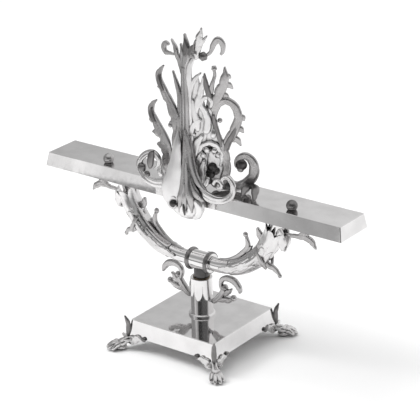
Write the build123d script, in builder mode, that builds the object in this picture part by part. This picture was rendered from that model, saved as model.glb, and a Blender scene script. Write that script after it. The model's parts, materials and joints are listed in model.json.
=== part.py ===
from build123d import *
import os
from math import cos, pi, radians, sin

os.makedirs("parts", exist_ok=True)

# Tabletop lectern with a baroque crest, in millimetres.
# +X runs along the ledge, -Y is the ornamental front, +Y the reader's side, +Z up.
# The origin lies on the table, under the column's axis.

# --- base and column ---------------------------------------------------------------
base_side = 120
base_top_side = 113.4
base_top_z = 35.5
base_height = 19
base_wall = 1.6
edge_radius = 0.8
base_bottom_z = base_top_z - base_height
plate_thickness = 1.6
fit_gap = 0.3
screw_radius = 2
screw_head_radius = 3.8
screw_head_height = 2.2
screw_clearance = 2.2
boss_radius = 5.5
boss_offset = 48
foot_screw_length = 12

column_radius = 12.5
column_wall = 2
column_top_z = 80
column_bore = column_radius - column_wall
plug_height = 15
bolt_radius = 4

# --- swivel: a pin under the neck turns in the column's cap -------------------------
pin_radius = 5
running_gap = 0.05
cap_flange = 1.5
cap_depth = 18
washer_thickness = 0.8
neck_radius = 8.5
neck_bottom_z = column_top_z + cap_flange + washer_thickness
pin_bottom_z = column_top_z - cap_depth - 6

# --- tilt: a shaft along X turns in the collar --------------------------------------
axis_z = 101
collar_radius = 11
collar_half = 15
ring_radius = 13
ring_width = 5
bush_radius = 7.5
bush_length = 9
shaft_radius = 6
shaft_half = 26

# --- arms and ledge -----------------------------------------------------------------
arm_radius = 8
arm_start = collar_half + 0.5
arm_straight_end = 22
arm_knee = (58, 110)
arm_elbow = (92, 143)
arm_top = (109, 181)
calyx_radius = 10
sheath_radius = 10.5
ledge_length = 400
ledge_width = 52
ledge_height = 16
ledge_inset = 2.8
ledge_top_z = 196
ledge_wall = 1.6
ledge_bottom_z = ledge_top_z - ledge_height
flange_radius = 17
flange_thickness = 3
knob_places = {"left": (-119, -11), "right": (129, -11)}

# --- crest --------------------------------------------------------------------------
cast_thickness = 4
strap_front_y = -27.6
front_y = strap_front_y - cast_thickness / 2
crest_root_y = -24
left_wing_angle = 8
right_wing_angle = 25

SIDES = (("left", -1), ("right", 1))

base_taper = 180 / pi * ((base_side - base_top_side) / 2 / base_height)
ledge_taper = 180 / pi * (ledge_inset / ledge_height)


def save(block, name):
    """Label one finished piece and write its STEP file."""
    block.part.label = name
    export_step(block.part, f"parts/{name}.step")


def outer_edges(block):
    """Every edge of a tapered slab but those of its underside."""
    return [edge for level in block.edges().group_by(Axis.Z)[1:] for edge in level]


def upright_plane(y, angle=0, sign=1):
    """A vertical plane: its local x runs outward along +X or -X, its local y is up."""
    out = (sign * cos(radians(angle)), sin(radians(angle)), 0)
    normal = (out[1], -out[0], 0)
    return Plane(origin=(0, y, 0), x_dir=out, z_dir=normal)


FRONT = upright_plane(front_y)
LEFT_WING = upright_plane(crest_root_y, left_wing_angle, -1)
RIGHT_WING = upright_plane(crest_root_y, right_wing_angle, 1)


def ribbon_sides(route, widths):
    """The two edges of a ribbon that follows a smooth route and changes in width."""
    path = Edge.make_spline([Vector(u, z, 0) for u, z in route])
    count = 2 * len(route)
    near, far = [], []
    for step in range(count + 1):
        share = step / count
        place = share * (len(widths) - 1)
        index = min(int(place), len(widths) - 2)
        width = widths[index] + (widths[index + 1] - widths[index]) * (place - index)
        point, along = path @ share, path % share
        offset = Vector(-along.Y, along.X, 0) * (width / 2)
        near.append(tuple(point + offset)[:2])
        far.append(tuple(point - offset)[:2])
    return near, far


def ribbon_face(route, widths):
    """Draw one ribbon in the sketch that is being built."""
    near, far = ribbon_sides(route, widths)
    with BuildLine(mode=Mode.PRIVATE) as outline:
        upper = Spline(*near)
        lower = Spline(*far)
        Line(upper @ 0, lower @ 0)
        Line(upper @ 1, lower @ 1)
    make_face(outline.edges())


def leaf_face(points):
    """Draw one closed leaf outline in the sketch that is being built."""
    with BuildLine(mode=Mode.PRIVATE) as outline:
        Spline(*points, periodic=True)
    make_face(outline.edges())


def casting(name, plane, ribbons=(), leaves=(), buds=(), thickness=cast_thickness, let_into=()):
    """One cast ornament: ribbons, leaf plates and round buds in a common plane.

    Where it meets the pieces in let_into, it is notched to fit them and brazed on.
    """
    with BuildPart() as ornament:
        with BuildSketch(plane):
            for points in leaves:
                leaf_face(points)
            for route, widths in ribbons:
                ribbon_face(route, widths)
            for u, z, radius in buds:
                with Locations((u, z)):
                    Circle(radius)
        extrude(amount=thickness / 2, both=True)
        for neighbour in let_into:
            add(neighbour.part, mode=Mode.SUBTRACT)
    save(ornament, name)
    return ornament


# =====================================================================================
# Base
# =====================================================================================
boss_places = [(x, y) for x in (-boss_offset, boss_offset) for y in (-boss_offset, boss_offset)]

with BuildPart() as base_shell:
    with BuildSketch(Plane.XY.offset(base_bottom_z)):
        Rectangle(base_side, base_side)
    extrude(amount=base_height, taper=base_taper)
    fillet(outer_edges(base_shell), edge_radius)
    offset(amount=-base_wall, openings=base_shell.faces().sort_by(Axis.Z)[0])
    with BuildSketch(Plane.XY.offset(base_bottom_z + plate_thickness)):
        with Locations(*boss_places):
            Circle(boss_radius)
    extrude(amount=base_height - plate_thickness - base_wall / 2)
    with BuildSketch(Plane.XY.offset(base_bottom_z)):
        with Locations(*boss_places):
            Circle(screw_radius)
    extrude(amount=foot_screw_length + 1, mode=Mode.SUBTRACT)
    with BuildSketch(Plane.XY.offset(base_top_z)):
        Circle(bolt_radius + 0.2)
    extrude(amount=-2 * base_wall, mode=Mode.SUBTRACT)
save(base_shell, "base_shell")

bottom_side = base_side - 2 * base_wall - 4 * fit_gap
with BuildPart() as base_bottom_plate:
    with BuildSketch(Plane.XY.offset(base_bottom_z)):
        Rectangle(bottom_side, bottom_side)
        with Locations(*boss_places):
            Circle(screw_clearance, mode=Mode.SUBTRACT)
    extrude(amount=plate_thickness)
save(base_bottom_plate, "base_bottom_plate")

# A claw foot: a pad under the plate, a leg that sweeps out to the toes, a leaf up the corner.
foot_pad_thickness = 4
toe_radius = 4.2
leaf_tip_z = 45
foot_pad_side = 22
foot_pad_centre = 50
toe_root = 90
rest_reach = 92
rest_radius = 4.5
corner_leaf_thickness = 2.6
FEET = (("front_left", 225), ("front_right", 315), ("rear_right", 45), ("rear_left", 135))


def claw_foot(name, angle):
    """One foot, whose leg lies in the upright plane through the base's corner."""
    out = (cos(radians(angle)), sin(radians(angle)), 0)
    way_x, way_y = (1 if out[0] > 0 else -1), (1 if out[1] > 0 else -1)
    leg_plane = Plane(origin=(0, 0, 0), x_dir=out, z_dir=(out[1], -out[0], 0))
    with BuildPart() as foot:
        with BuildSketch(Plane.XY.offset(base_bottom_z)):
            with Locations((foot_pad_centre * way_x, foot_pad_centre * way_y)):
                RectangleRounded(foot_pad_side, foot_pad_side, 3)
        extrude(amount=-foot_pad_thickness)
        with BuildSketch(leg_plane):
            leaf_face([(75, 12.6), (81, 14.8), (87, 14.6), (91, 11), (97, 11.2), (102, 9),
                       (103, 3), (98, 0.9), (90, 2.2), (86, 6.4), (81, 8.8)])
        extrude(amount=5, both=True)
        with BuildSketch(leg_plane):
            leaf_face([(86.2, 12), (86.4, 26), (86.6, 38), (90, leaf_tip_z), (89.6, 36),
                       (90.4, 24), (90, 13)])
        extrude(amount=2.2, both=True)
        for spread in (-24, 0, 24):
            turn = radians(angle + spread)
            toe = (toe_root * out[0] + 12 * cos(turn), toe_root * out[1] + 12 * sin(turn), toe_radius)
            with BuildSketch(Plane(origin=toe, z_dir=(cos(turn), sin(turn), 0)).offset(-8)):
                Circle(toe_radius)
            extrude(amount=13)
        with BuildSketch(Plane.XY):
            with Locations((rest_reach * out[0], rest_reach * out[1])):
                Circle(rest_radius)
        extrude(amount=4)
        face = base_side / 2 + fit_gap
        for plane in (Plane(origin=(0, way_y * face, 0), x_dir=(way_x, 0, 0), z_dir=(0, way_y, 0)),
                      Plane(origin=(way_x * face, 0, 0), x_dir=(0, way_y, 0), z_dir=(way_x, 0, 0))):
            up = 1 if plane.y_dir.Z > 0 else -1
            with BuildSketch(plane):
                leaf_face([(63.5, up * 13), (63.5, up * 28), (58, up * 31), (52, up * 25),
                           (43, up * 26), (41, up * 19), (48, up * 16), (55, up * 12)])
            extrude(amount=corner_leaf_thickness)
        with BuildSketch(Plane.XY.offset(base_bottom_z)):
            with Locations((boss_offset * way_x, boss_offset * way_y)):
                Circle(screw_clearance)
        extrude(amount=-foot_pad_thickness - 1, mode=Mode.SUBTRACT)
    save(foot, name)


for corner_name, corner_angle in FEET:
    claw_foot(f"foot_{corner_name}", corner_angle)

with BuildPart() as foot_screws:
    with BuildSketch(Plane.XY.offset(base_bottom_z - foot_pad_thickness)):
        with Locations(*boss_places):
            Circle(screw_radius)
    extrude(amount=foot_screw_length)
    with BuildSketch(Plane.XY.offset(base_bottom_z - foot_pad_thickness)):
        with Locations(*boss_places):
            Circle(screw_head_radius)
    extrude(amount=-screw_head_height)
save(foot_screws, "foot_screws")

stud_z = 55
with BuildPart() as scroll_studs:
    for side, sign in SIDES:
        with BuildSketch(Plane(origin=(sign * (column_bore + 0.3), 0, stud_z), z_dir=(sign, 0, 0))):
            Circle(screw_radius)
        extrude(amount=6)
save(scroll_studs, "scroll_studs")

with BuildPart() as column_tube:
    with BuildSketch(Plane.XY.offset(base_top_z)):
        Circle(column_radius)
        Circle(column_bore, mode=Mode.SUBTRACT)
    extrude(amount=column_top_z - base_top_z)
    add(scroll_studs.part, mode=Mode.SUBTRACT)
save(column_tube, "column_tube")

with BuildPart() as column_foot_ring:
    with BuildSketch(Plane.XZ):
        with BuildLine():
            Polyline((column_radius, base_top_z), (15.2, base_top_z), (15.2, base_top_z + 1))
            ThreePointArc((15.2, base_top_z + 1), (14.6, base_top_z + 2.6), (13.2, base_top_z + 3.4))
            Polyline((13.2, base_top_z + 3.4), (column_radius, base_top_z + 3.4), (column_radius, base_top_z))
        make_face()
    revolve(axis=Axis.Z)
save(column_foot_ring, "column_foot_ring")

with BuildPart() as column_foot_plug:
    with BuildSketch(Plane.XY.offset(base_top_z)):
        Circle(column_bore)
        Circle(bolt_radius, mode=Mode.SUBTRACT)
    extrude(amount=plug_height)
save(column_foot_plug, "column_foot_plug")

shell_ceiling_z = base_top_z - base_wall
with BuildPart() as column_washer:
    with BuildSketch(Plane.XY.offset(shell_ceiling_z)):
        Circle(10)
        Circle(bolt_radius + 0.2, mode=Mode.SUBTRACT)
    extrude(amount=-1.4)
save(column_washer, "column_washer")

with BuildPart() as column_bolt:
    with BuildSketch(Plane.XY.offset(shell_ceiling_z - 1.4)):
        RegularPolygon(7, 6)
    extrude(amount=-5)
    with BuildSketch(Plane.XY.offset(shell_ceiling_z - 1.4)):
        Circle(bolt_radius)
    extrude(amount=plug_height + 2)
save(column_bolt, "column_bolt")

with BuildPart() as column_cap:
    with BuildSketch(Plane.XY.offset(column_top_z)):
        Circle(column_bore)
    extrude(amount=-cap_depth)
    with BuildSketch(Plane.XY.offset(column_top_z)):
        Circle(column_radius)
    extrude(amount=cap_flange)
    fillet(column_cap.edges().group_by(Axis.Z)[-1], 0.6)
    with BuildSketch(Plane.XY.offset(column_top_z + cap_flange)):
        Circle(pin_radius + running_gap)
    extrude(amount=-cap_depth - cap_flange, mode=Mode.SUBTRACT)
save(column_cap, "column_cap")

# The side scrolls spring from the column and curl up under the arms.
scroll_stem = [(12.9, 54.5), (20, 57.5), (26, 64), (32, 71.5), (41, 73.5),
               (49.5, 79), (49, 87), (42, 90), (37, 86.5)]
scroll_leaf = [(22, 60), (27, 72), (30, 80), (35, 81), (37, 75), (45, 70), (44, 65), (36, 66), (29, 62)]
for side, sign in SIDES:
    casting(f"column_scroll_{side}", upright_plane(0, 0, sign),
            ribbons=[(scroll_stem, (5, 6, 5, 4.5, 3))], leaves=[scroll_leaf], buds=[(39, 85.5, 3)],
            thickness=7, let_into=(scroll_studs,))

# =====================================================================================
# Turret
# =====================================================================================
with BuildPart() as thrust_washer:
    with BuildSketch(Plane.XY.offset(neck_bottom_z)):
        Circle(9.6)
        Circle(pin_radius + 0.1, mode=Mode.SUBTRACT)
    extrude(amount=-washer_thickness)
save(thrust_washer, "thrust_washer")

with BuildPart() as neck:
    with BuildSketch(Plane.XY.offset(neck_bottom_z)):
        Circle(neck_radius)
    extrude(amount=axis_z - neck_bottom_z)
    with BuildSketch(Plane.XY.offset(neck_bottom_z)):
        Circle(pin_radius)
    extrude(amount=pin_bottom_z - neck_bottom_z)
    with BuildSketch(Plane.YZ.offset(-collar_half)):
        with Locations((0, axis_z)):
            Circle(collar_radius)
    extrude(amount=2 * collar_half, mode=Mode.SUBTRACT)
save(neck, "neck")

with BuildPart() as pin_nut:
    with BuildSketch(Plane.XY.offset(column_top_z - cap_depth - 0.4)):
        RegularPolygon(8.4, 6)
        Circle(pin_radius, mode=Mode.SUBTRACT)
    extrude(amount=-5)
save(pin_nut, "pin_nut")

set_screw_radius = 2.5
with BuildPart() as collar:
    with BuildSketch(Plane.YZ.offset(-collar_half)):
        with Locations((0, axis_z)):
            Circle(collar_radius)
            Circle(bush_radius, mode=Mode.SUBTRACT)
    extrude(amount=2 * collar_half)
    with BuildSketch(Plane.XZ.offset(-collar_radius - 1)):
        with Locations((0, axis_z)):
            Circle(set_screw_radius)
    extrude(amount=collar_radius, mode=Mode.SUBTRACT)
save(collar, "collar")

with BuildPart() as collar_rings:
    for side, sign in SIDES:
        inner, outer = collar_half - ring_width, collar_half
        with BuildSketch(upright_plane(0, 0, sign)):
            with BuildLine():
                Polyline((inner, axis_z + ring_radius - 1.2), (inner, axis_z + collar_radius),
                         (outer, axis_z + collar_radius), (outer, axis_z + ring_radius - 1.2))
                ThreePointArc((outer, axis_z + ring_radius - 1.2), ((inner + outer) / 2, axis_z + ring_radius),
                              (inner, axis_z + ring_radius - 1.2))
            make_face()
        revolve(axis=Axis((0, 0, axis_z), (1, 0, 0)))
save(collar_rings, "collar_rings")

with BuildPart() as collar_bushes:
    for side, sign in SIDES:
        with BuildSketch(Plane(origin=(sign * collar_half, 0, axis_z), z_dir=(sign, 0, 0))):
            Circle(bush_radius)
            Circle(shaft_radius + running_gap, mode=Mode.SUBTRACT)
        extrude(amount=-bush_length)
save(collar_bushes, "collar_bushes")

with BuildPart() as tilt_screw:
    with BuildSketch(Plane.XZ.offset(-shaft_radius - 0.15)):
        with Locations((0, axis_z)):
            Circle(set_screw_radius)
    extrude(amount=-7)
    with BuildSketch(Plane.XZ.offset(-collar_radius - 1)):
        with Locations((0, axis_z)):
            Circle(5)
    extrude(amount=-5)
    fillet(tilt_screw.edges().filter_by(GeomType.CIRCLE).group_by(Axis.Y)[-1], 1)
save(tilt_screw, "tilt_screw")

# =====================================================================================
# Head: shaft and arms
# =====================================================================================
with BuildPart() as tilt_shaft:
    with BuildSketch(Plane.YZ.offset(-shaft_half)):
        with Locations((0, axis_z)):
            Circle(shaft_radius)
    extrude(amount=2 * shaft_half)
save(tilt_shaft, "tilt_shaft")

with BuildLine() as arm_route:
    straight = Line((arm_start, axis_z), (arm_straight_end, axis_z))
    lower_arc = TangentArc(straight @ 1, arm_knee, tangent=straight % 1)
    middle_arc = TangentArc(lower_arc @ 1, arm_elbow, tangent=lower_arc % 1)
    upper_arc = TangentArc(middle_arc @ 1, arm_top, tangent=middle_arc % 1)

with BuildLine() as calyx_route:
    calyx_start = lower_arc @ 0.62
    first = TangentArc(calyx_start, lower_arc @ 1, tangent=lower_arc % 0.62)
    TangentArc(first @ 1, middle_arc @ 0.8, tangent=first % 1)

with BuildLine() as sheath_route:
    second = TangentArc(middle_arc @ 0.84, middle_arc @ 1, tangent=middle_arc % 0.84)
    TangentArc(second @ 1, upper_arc @ 0.72, tangent=second % 1)

arm_end_z = ledge_bottom_z - flange_thickness
tendril = [(24, 109.6), (31, 113), (40, 119), (49, 127), (56, 136), (60, 146), (57, 157)]
outer_leaf = [(108, 163), (119, 167.5), (131, 167.5), (140, 164.5), (148, 159)]
calyx_spurs = [([(86, 122), (94, 121), (101, 117), (104, 110)], (8, 6, 3, 1.5)),
               ([(78, 128), (81, 135), (83, 141), (86, 146)], (7, 5, 3, 1.5))]
sheath_lobes = [([(99, 148), (107, 147), (113, 143)], (9, 7, 2)),
                ([(92, 154), (85, 156), (80, 160)], (8, 5, 2)),
                ([(104, 156), (113, 158), (117, 153)], (9, 6, 2))]

for side, sign in SIDES:
    arm_plane = upright_plane(0, 0, sign)
    route = arm_plane.from_local_coords(arm_route.line)
    with BuildPart() as arm:
        with BuildSketch(Plane(origin=route @ 0, z_dir=route % 0)):
            Circle(arm_radius)
        sweep(path=route)
        with BuildSketch(Plane.YZ.offset(sign * arm_start)):
            with Locations((0, axis_z)):
                Circle(shaft_radius)
        extrude(amount=sign * (shaft_half - arm_start), mode=Mode.SUBTRACT)
        split(bisect_by=Plane.XY.offset(arm_end_z), keep=Keep.BOTTOM)
    save(arm, f"arm_{side}")

    around = [arm]
    for name, line, radius, extras in (("arm_calyx", calyx_route.line, calyx_radius, calyx_spurs),
                                       ("arm_sheath", sheath_route.line, sheath_radius, sheath_lobes)):
        path = arm_plane.from_local_coords(line)
        with BuildPart() as wrap:
            with BuildSketch(Plane(origin=path @ 0, z_dir=path % 0)):
                Circle(radius)
            sweep(path=path)
            with BuildSketch(arm_plane):
                for points, widths in extras:
                    ribbon_face(points, widths)
            extrude(amount=2.5, both=True)
            for neighbour in around:
                add(neighbour.part, mode=Mode.SUBTRACT)
        save(wrap, f"{name}_{side}")
        around.append(wrap)

    casting(f"arm_tendril_{side}", arm_plane, ribbons=[(tendril, (3, 4.5, 4, 3.5, 2))], let_into=around)
    casting(f"arm_outer_leaf_{side}", arm_plane, ribbons=[(outer_leaf, (5, 7, 6, 2))], let_into=around)

flange_x = arm_top[0] - 1.5
flange_screw_step = 12.5
flange_screws = [(sign * flange_x, y) for side, sign in SIDES for y in (-flange_screw_step, flange_screw_step)]
with BuildPart() as arm_flanges:
    with BuildSketch(Plane.XY.offset(ledge_bottom_z)):
        with Locations((-flange_x, 0), (flange_x, 0)):
            Circle(flange_radius)
        with Locations(*flange_screws):
            Circle(screw_clearance, mode=Mode.SUBTRACT)
    extrude(amount=-flange_thickness)
save(arm_flanges, "arm_flanges")

# =====================================================================================
# Head: ledge
# =====================================================================================
end_screws = [(x, y) for x in (-185, 185) for y in (-16, 16)]
ledge_screw_places = flange_screws + end_screws
lug_length = 44
lug_width = 40
knob_stud_radius = 2.5
knob_stud_length = 10
knob_ball_radius = 6.2
knob_ball_height = 4.6
crest_screw_length = 9
crest_screw_places = [(-9, 188), (9, 188)]
with BuildPart() as ledge_shell:
    with BuildSketch(Plane.XY.offset(ledge_bottom_z)):
        Rectangle(ledge_length, ledge_width)
    extrude(amount=ledge_height, taper=ledge_taper)
    fillet(outer_edges(ledge_shell), edge_radius)
    offset(amount=-ledge_wall, openings=ledge_shell.faces().sort_by(Axis.Z)[0])
    with BuildSketch(Plane.XY.offset(ledge_bottom_z + plate_thickness)):
        with Locations((-flange_x - 4, 0), (flange_x + 4, 0)):
            Rectangle(lug_length, lug_width)
        with Locations(*end_screws):
            Circle(boss_radius)
        with Locations((0, -ledge_width / 2 + 7)):
            Rectangle(32, 8)
    extrude(amount=ledge_height - plate_thickness - ledge_wall / 2)
    with BuildSketch(Plane.XY.offset(ledge_bottom_z)):
        with Locations(*ledge_screw_places):
            Circle(screw_radius)
    extrude(amount=11, mode=Mode.SUBTRACT)
    with BuildSketch(Plane.XY.offset(ledge_top_z)):
        with Locations(*knob_places.values()):
            Circle(knob_stud_radius)
    extrude(amount=-11, mode=Mode.SUBTRACT)
    with BuildSketch(Plane.XZ.offset(-strap_front_y)):
        with Locations(*crest_screw_places):
            Circle(screw_radius)
    extrude(amount=-crest_screw_length, mode=Mode.SUBTRACT)
save(ledge_shell, "ledge_shell")

with BuildPart() as ledge_underplate:
    with BuildSketch(Plane.XY.offset(ledge_bottom_z)):
        Rectangle(ledge_length - 2 * ledge_wall - 4 * fit_gap, ledge_width - 2 * ledge_wall - 4 * fit_gap)
        with Locations(*ledge_screw_places):
            Circle(screw_clearance, mode=Mode.SUBTRACT)
    extrude(amount=plate_thickness)
save(ledge_underplate, "ledge_underplate")

with BuildPart() as ledge_screws:
    for places, seat_z in ((flange_screws, arm_end_z), (end_screws, ledge_bottom_z)):
        with BuildSketch(Plane.XY.offset(seat_z)):
            with Locations(*places):
                Circle(screw_radius)
        extrude(amount=ledge_bottom_z + 10 - seat_z)
        with BuildSketch(Plane.XY.offset(seat_z)):
            with Locations(*places):
                Circle(screw_head_radius)
        extrude(amount=-screw_head_height)
save(ledge_screws, "ledge_screws")

for side, (knob_x, knob_y) in knob_places.items():
    with BuildPart() as knob:
        with Locations((knob_x, knob_y, ledge_top_z + knob_ball_height)):
            Sphere(knob_ball_radius)
        split(bisect_by=Plane.XY.offset(ledge_top_z), keep=Keep.TOP)
        with BuildSketch(Plane.XY.offset(ledge_top_z - knob_stud_length)):
            with Locations((knob_x, knob_y)):
                Circle(knob_stud_radius)
        extrude(amount=knob_stud_length + knob_ball_height)
    save(knob, f"ledge_knob_{side}")

# =====================================================================================
# Head: crest
# =====================================================================================
strap_half = 40
slope = ledge_inset / ledge_height
strap_low, strap_high = 0.6, ledge_height - 0.6
with BuildPart() as crest_strap:
    with BuildSketch(Plane.YZ.offset(-strap_half)):
        with BuildLine():
            Polyline((-ledge_width / 2 + slope * strap_low, ledge_bottom_z + strap_low),
                     (-ledge_width / 2 + slope * strap_high, ledge_bottom_z + strap_high),
                     (strap_front_y, ledge_bottom_z + strap_high), (strap_front_y, ledge_bottom_z + strap_low),
                     close=True)
        make_face()
    extrude(amount=2 * strap_half)
    with BuildSketch(Plane.XZ.offset(30)):
        with Locations(*crest_screw_places):
            Circle(screw_radius)
    extrude(amount=-8, mode=Mode.SUBTRACT)
save(crest_strap, "crest_strap")

with BuildPart() as crest_screws:
    with BuildSketch(Plane.XZ.offset(-strap_front_y)):
        with Locations(*crest_screw_places):
            Circle(screw_radius)
    extrude(amount=-crest_screw_length)
    with BuildSketch(Plane.XZ.offset(-strap_front_y)):
        with Locations(*crest_screw_places):
            Circle(screw_head_radius)
    extrude(amount=screw_head_height)
save(crest_screws, "crest_screws")

# The bulb is a hollow shell-shaped dome, open at the back, that hangs below the ledge.
bulb_z = 180
bulb_levels = ((0, 26, 20.5), (6, 23.5, 18.5), (10, 17.5, 14), (12.4, 8, 6.5))
with BuildPart() as crest_bulb:
    for shrink, mode in ((0, Mode.ADD), (2, Mode.SUBTRACT)):
        for depth, half_width, half_height in bulb_levels:
            with BuildSketch(Plane.XZ.offset(-strap_front_y + depth * (1 - shrink / 12.4))):
                with Locations((0, bulb_z)):
                    Ellipse(half_width - shrink, half_height - shrink)
        loft(mode=mode)
save(crest_bulb, "crest_bulb")

fan = casting("crest_fan", FRONT, let_into=(crest_bulb,),
              leaves=[[(-17, 199), (-10, 216), (-6, 232), (-3, 246), (6, 246), (9, 232), (14, 216),
                       (22, 199), (3, 200)]])

spine_x = 1.5
with BuildPart() as crest_spine:
    for z, half_width, half_depth in ((203, 7, 3.2), (250, 5, 5), (300, 4, 4), (326, 2.2, 2.5)):
        with BuildSketch(Plane.XY.offset(z)):
            with BuildLine():
                Polyline((spine_x - half_width, crest_root_y), (spine_x, crest_root_y - half_depth),
                         (spine_x + half_width, crest_root_y), (spine_x, crest_root_y + half_depth), close=True)
            make_face()
    loft(ruled=True)
    add(fan.part, mode=Mode.SUBTRACT)
save(crest_spine, "crest_spine")

wing_left = casting("crest_wing_left", LEFT_WING, let_into=(crest_spine, fan),
                    leaves=[[(1, 206), (1, 250), (1, 290), (3, 304), (8, 296), (14, 282), (17, 262), (19, 240),
                             (25, 222), (20, 207)]],
                    ribbons=[([(4, 292), (7, 302), (11, 312), (18, 324)], (7, 6, 5, 2))])
casting("crest_leaf_lower_left", LEFT_WING, let_into=(wing_left,),
        leaves=[[(17, 210), (15, 226), (20, 243), (28, 258), (35, 268), (37, 279), (41, 287), (46, 281),
                 (53, 271), (47, 262), (43, 250), (42, 238), (35, 232), (30, 218), (24, 208)]])
casting("crest_leaf_upper_left", LEFT_WING, let_into=(wing_left, crest_spine),
        leaves=[[(5, 252), (4, 275), (10, 292), (20, 305), (28, 318), (31, 329), (38, 321), (41, 311),
                 (34, 303), (31, 291), (24, 283), (24, 272), (19, 262), (14, 246)]])
wing_right = casting("crest_wing_right", RIGHT_WING, let_into=(crest_spine, fan),
                     leaves=[[(2, 206), (3, 240), (4, 280), (5, 320), (8, 345), (14, 360), (22, 352), (26, 338),
                              (28, 320), (33, 303), (33, 287), (31, 270), (35, 254), (37, 238), (33, 222),
                              (22, 205)]],
                     ribbons=[([(22, 314), (27, 320), (30, 327), (32, 334)], (6, 4, 3, 3))],
                     buds=[(32.5, 334, 3), (23.5, 347, 5)])
casting("crest_spray_top", LEFT_WING, let_into=(crest_spine, wing_left, wing_right),
        ribbons=[([(0, 318), (4, 332), (9, 344), (19, 357)], (6, 6, 5, 2)),
                 ([(0, 318), (1, 334), (1, 346), (6, 360)], (6, 6, 5, 2)),
                 ([(-2, 318), (-4, 338), (-5, 352), (-4, 369)], (6, 6, 6, 2)),
                 ([(-2, 330), (-7, 340), (-10, 350), (-15, 360)], (5, 5, 4, 2)),
                 ([(7, 340), (20, 339), (30, 339), (37, 343), (35, 350), (29, 351)], (4, 4, 3.5, 3, 2))])

casting("crest_volute_left", FRONT, let_into=(crest_bulb, fan),
        ribbons=[([(-14, 198), (-31, 199.5), (-44, 197), (-56, 201), (-63, 212), (-58, 225), (-47, 231),
                   (-38, 224), (-40, 215), (-47, 214)], (7, 8, 8, 7, 6, 4))], buds=[(-46, 219, 4.5)])
casting("crest_band_right", FRONT, let_into=(crest_bulb, fan),
        ribbons=[([(18.5, 201.5), (25, 203), (34, 202), (44, 192), (54, 190), (63, 198), (62, 207), (55, 209)],
                  (5, 7, 8, 6, 4)),
                 ([(24, 203), (33, 214), (42, 220), (49, 215), (46, 209), (41, 211)], (5, 6, 5, 4, 3))],
        buds=[(56, 212, 4.5)])

stem_right = casting("crest_stem_right", RIGHT_WING, let_into=(wing_right,),
                     ribbons=[([(24, 208), (37, 213), (46, 224), (46, 238), (41, 249), (34, 262)], (8, 8, 7, 6, 4))])
curl_right = casting("crest_curl_right", RIGHT_WING, let_into=(wing_right, stem_right),
                     ribbons=[([(27, 207), (38, 203), (52, 202), (64, 203), (74, 209), (78, 221), (73, 232),
                                (63, 235), (56, 229), (57, 222)], (5, 6, 7, 8, 7, 5, 4))], buds=[(62, 223, 6)])
loop_right = casting("crest_loop_right", RIGHT_WING, let_into=(wing_right, stem_right),
                     ribbons=[([(44, 243), (51, 255), (57, 267), (59, 281), (53, 293), (44, 297), (36, 291),
                                (34, 279), (37, 266), (42, 254)], (6, 6, 6, 7, 6, 5, 4)),
                              ([(52, 252), (57, 256), (61, 252), (62, 247)], (6, 5, 3, 2)),
                              ([(57, 270), (62, 269), (64, 262)], (6, 4, 2))], buds=[(38, 277, 3)])
casting("crest_leaf_upper_right", RIGHT_WING, let_into=(wing_right, loop_right),
        leaves=[[(32, 296), (36, 310), (41, 320), (41, 330), (45, 337), (49, 328), (53, 314), (46, 308),
                 (44, 298), (38, 292)]])
leaf_top = casting("crest_leaf_top", RIGHT_WING, let_into=(wing_right,),
                   ribbons=[([(12, 340), (15, 355), (19, 366), (23, 380)], (10, 11, 9, 3)),
                            ([(15, 352), (21, 362), (28, 371)], (8, 6, 3))])
casting("crest_curl_top_right", RIGHT_WING, let_into=(wing_right, leaf_top),
        ribbons=[([(22, 344), (27, 354), (32, 362), (38, 364), (42, 358), (40, 350)], (6, 5, 5, 4.5, 3))])

# The two-pronged leaf springs from the side curl and bends forward over the ledge.
prong_root_y = 6
prong_tip_y = -24
with BuildPart() as crest_prong_leaf:
    prong_plane = Plane(origin=(70, prong_root_y, 200.6), x_dir=(0.55, prong_tip_y - prong_root_y, 0),
                        z_dir=(0, 0, 1))
    with BuildSketch(prong_plane):
        ribbon_face([(-4, 0), (8, 2), (20, 3), (31, 8)], (7, 8, 7, 3))
        ribbon_face([(8, 2), (14, 9), (22, 15), (31, 19)], (7, 7, 6, 3))
    extrude(amount=1.8, both=True)
    add(curl_right.part, mode=Mode.SUBTRACT)
save(crest_prong_leaf, "crest_prong_leaf")
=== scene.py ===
import json
import math

import bpy
import numpy as np
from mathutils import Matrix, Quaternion, Vector


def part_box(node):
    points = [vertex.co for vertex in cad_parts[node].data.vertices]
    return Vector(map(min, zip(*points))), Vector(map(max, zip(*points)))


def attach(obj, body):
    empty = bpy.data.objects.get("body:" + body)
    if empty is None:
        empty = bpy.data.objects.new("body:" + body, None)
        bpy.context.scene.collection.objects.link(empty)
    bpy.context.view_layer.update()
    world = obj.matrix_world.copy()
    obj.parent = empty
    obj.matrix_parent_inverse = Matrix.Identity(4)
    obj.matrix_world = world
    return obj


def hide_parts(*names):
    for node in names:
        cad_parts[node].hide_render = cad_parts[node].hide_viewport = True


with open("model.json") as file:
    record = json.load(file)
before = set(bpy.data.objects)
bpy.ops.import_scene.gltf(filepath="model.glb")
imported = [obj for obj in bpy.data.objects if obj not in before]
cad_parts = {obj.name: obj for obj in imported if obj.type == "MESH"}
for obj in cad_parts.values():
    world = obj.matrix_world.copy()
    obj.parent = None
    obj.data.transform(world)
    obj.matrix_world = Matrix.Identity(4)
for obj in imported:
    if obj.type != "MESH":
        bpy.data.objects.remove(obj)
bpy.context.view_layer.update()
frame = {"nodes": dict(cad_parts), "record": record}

# A silver tabletop lectern: the frame's plain plates, tubes and turned pieces keep their shape and get
# a polished finish, and the cast ornaments are modelled here as relief, in the frame's millimetres.
MM = 0.001
CLOUD_SCALE = 45.0
GRAIN_DEPTH = 0.0004


def low(node):
    """Lowest corner of a CAD node, in millimetres."""
    return np.array(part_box(node)[0]) / MM


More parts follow.
